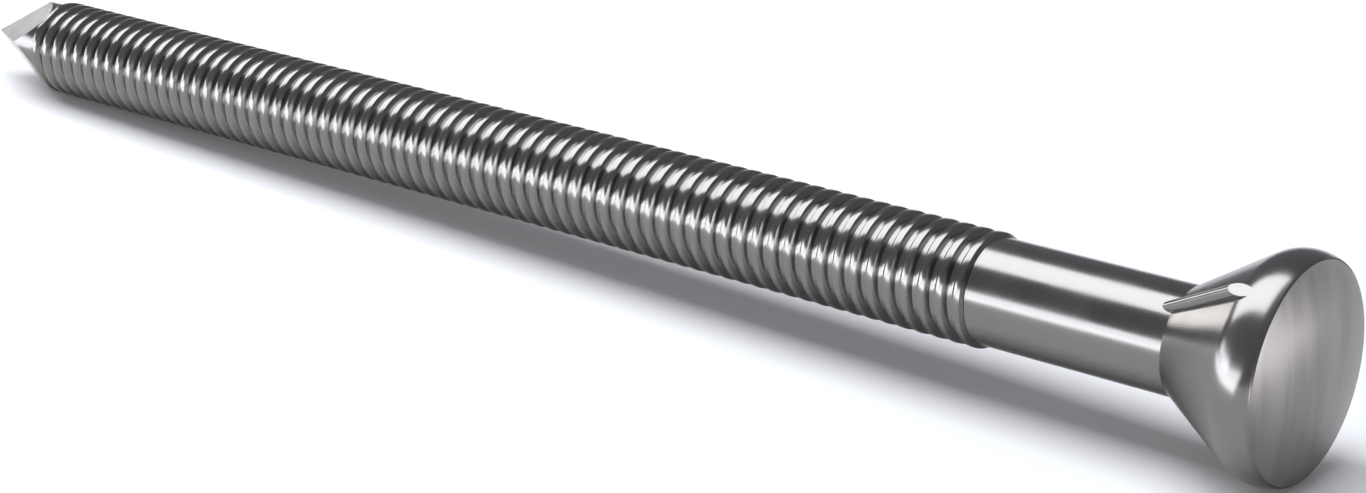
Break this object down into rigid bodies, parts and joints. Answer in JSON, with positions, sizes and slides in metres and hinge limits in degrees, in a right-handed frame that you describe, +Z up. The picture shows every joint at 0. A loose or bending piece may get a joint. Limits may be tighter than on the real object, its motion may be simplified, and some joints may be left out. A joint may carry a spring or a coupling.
{
  "type": "ring shank nail",
  "caption": "Bright steel ring-shank nail lying at rest: four-sided point, rolled ring grooves, plain neck, and a raised countersunk head with small ribs beneath.",
  "frame": {"origin": "centre of the resting nail's box, on the floor it lies on", "axes": "+X runs from the point to the head, +Z up; the nail's own axis climbs towards the head by 1.74 degrees because the rim is wider than the rings"},
  "size_m": [0.05, 0.0058, 0.0058],
  "materials": {
    "steel": "bright drawn and rolled steel, lightly polished"
  },
  "bodies": {
    "root": {"nail": "steel"}
  },
  "joints": []
}
